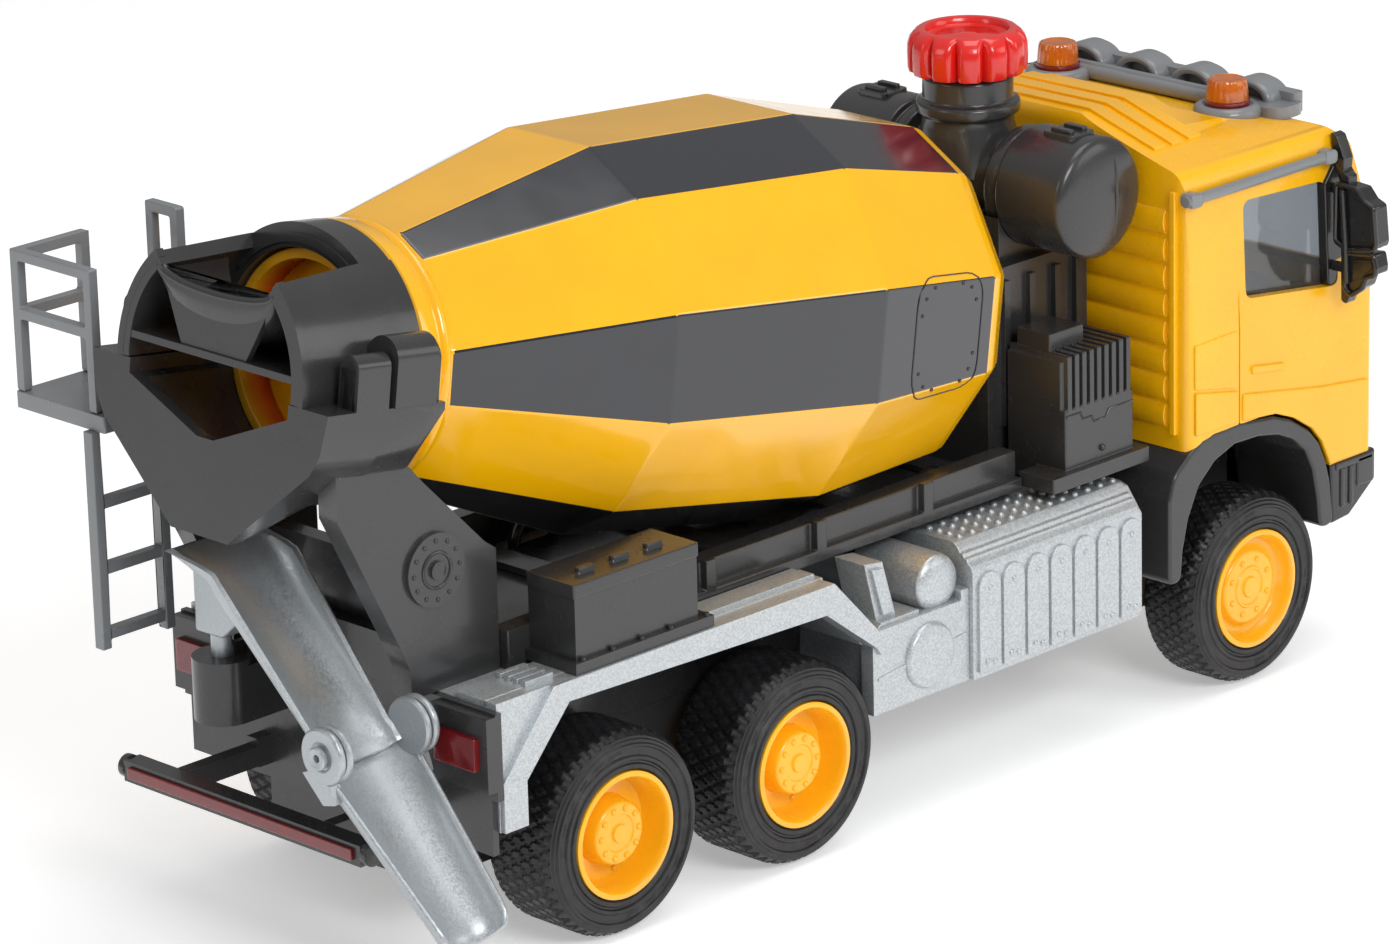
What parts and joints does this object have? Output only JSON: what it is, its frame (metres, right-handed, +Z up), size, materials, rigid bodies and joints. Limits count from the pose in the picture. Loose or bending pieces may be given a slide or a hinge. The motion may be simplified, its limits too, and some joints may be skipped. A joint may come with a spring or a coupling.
{
  "type": "toy cement mixer",
  "caption": "Yellow and grey toy cement mixer truck with a turning striped drum, a red drive knob and a swivelling, folding rear chute.",
  "frame": {"origin": "centre of the truck's footprint, on the ground", "axes": "+X to the front of the truck, +Y to its left side, +Z up"},
  "size_m": [0.2262, 0.092, 0.1126],
  "materials": {
    "charcoal_plastic": "satin moulded, dark warm grey",
    "grey_plastic": "satin moulded, mid grey",
    "dark_plastic": "matt moulded, near black",
    "silver_metal": "silver metallic, fine grain",
    "yellow_paint": "glossy warm yellow, with dark stripes on the drum",
    "yellow_plastic": "glossy moulded, warm yellow",
    "orange_plastic": "glossy moulded, orange yellow",
    "red_plastic": "glossy moulded, bright red",
    "white_plastic": "smooth moulded, white",
    "tyre": "matt black rubber",
    "steel": "bright drawn steel",
    "red_lens": "dark red lens",
    "orange_lens": "orange translucent lens",
    "lamp_lens": "clear lens",
    "window": "tinted clear pane"
  },
  "bodies": {
    "chassis": {"base_plate": "charcoal_plastic", "chassis_frame": "charcoal_plastic", "subframe": "charcoal_plastic", "fender_right": "silver_metal", "fender_left": "silver_metal", "side_tank_right": "silver_metal", "side_tank_left": "silver_metal", "rear_panel": "charcoal_plastic", "tail_lights": "red_lens", "underrun_bar": "charcoal_plastic", "underrun_stripe": "red_lens", "toolbox": "charcoal_plastic", "toolbox_lid": "charcoal_plastic", "cooler_box": "charcoal_plastic", "pedestal": "charcoal_plastic", "cradle": "charcoal_plastic", "hopper": "charcoal_plastic", "ladder": "grey_plastic", "platform": "grey_plastic", "platform_rails": "grey_plastic", "cross_tank": "charcoal_plastic", "gear_housing": "charcoal_plastic", "cab_shell": "yellow_paint", "cab_glazing": "window", "cab_interior": "dark_plastic", "steering_wheel": "dark_plastic", "grille": "dark_plastic", "front_lamps": "lamp_lens", "bumper": "dark_plastic", "wheel_arches": "charcoal_plastic", "mirrors": "dark_plastic", "drip_bars": "grey_plastic", "light_bar": "grey_plastic", "beacons": "orange_lens", "hoses": "dark_plastic", "base_screws": "steel"},
    "wheels_rear": {"tyre_rear_right": "tyre", "tyre_rear_left": "tyre", "hub_rear_right": "yellow_plastic", "hub_rear_left": "yellow_plastic", "axle_rear": "steel"},
    "wheels_middle": {"tyre_middle_right": "tyre", "tyre_middle_left": "tyre", "hub_middle_right": "yellow_plastic", "hub_middle_left": "yellow_plastic", "axle_middle": "steel"},
    "wheels_front": {"tyre_front_right": "tyre", "tyre_front_left": "tyre", "hub_front_right": "yellow_plastic", "hub_front_left": "yellow_plastic", "axle_front": "steel"},
    "drum": {"drum_shell": "yellow_paint", "drum_mouth": "orange_plastic", "drum_journal": "white_plastic"},
    "knob": {"knob": "red_plastic", "knob_shaft": "white_plastic"},
    "chute": {"chute_post": "steel", "chute_upper": "silver_metal", "chute_pins": "steel"},
    "chute_end": {"chute_lower": "silver_metal"}
  },
  "joints": [
    {"name": "wheels_rear_roll", "type": "hinge", "parent": "chassis", "child": "wheels_rear", "pos_m": [-0.0621, 0, 0.016], "axis": [0, 1, 0], "continuous": true},
    {"name": "wheels_middle_roll", "type": "hinge", "parent": "chassis", "child": "wheels_middle", "pos_m": [-0.0238, 0, 0.016], "axis": [0, 1, 0], "continuous": true},
    {"name": "wheels_front_roll", "type": "hinge", "parent": "chassis", "child": "wheels_front", "pos_m": [0.0822, 0, 0.016], "axis": [0, 1, 0], "continuous": true},
    {"name": "drum_spin", "type": "hinge", "parent": "chassis", "child": "drum", "pos_m": [-0.0782, 0, 0.088], "axis": [0.9898, 0, -0.1426], "continuous": true},
    {"name": "knob_spin", "type": "hinge", "parent": "chassis", "child": "knob", "pos_m": [0.0516, 0, 0.1], "axis": [0, 0, 1], "continuous": true},
    {"name": "chute_swivel", "type": "hinge", "parent": "chassis", "child": "chute", "pos_m": [-0.0986, 0.0125, 0.045], "axis": [0, 0, 1], "range_deg": [-95, 0]},
    {"name": "chute_fold", "type": "hinge", "parent": "chute", "child": "chute_end", "pos_m": [-0.1023, -0.024, 0.0402], "axis": [-1, 0, 0], "range_deg": [0, 120]}
  ],
  "couplings": [
    {"joint": "knob_spin", "follows": "drum_spin", "ratio": 2}
  ]
}
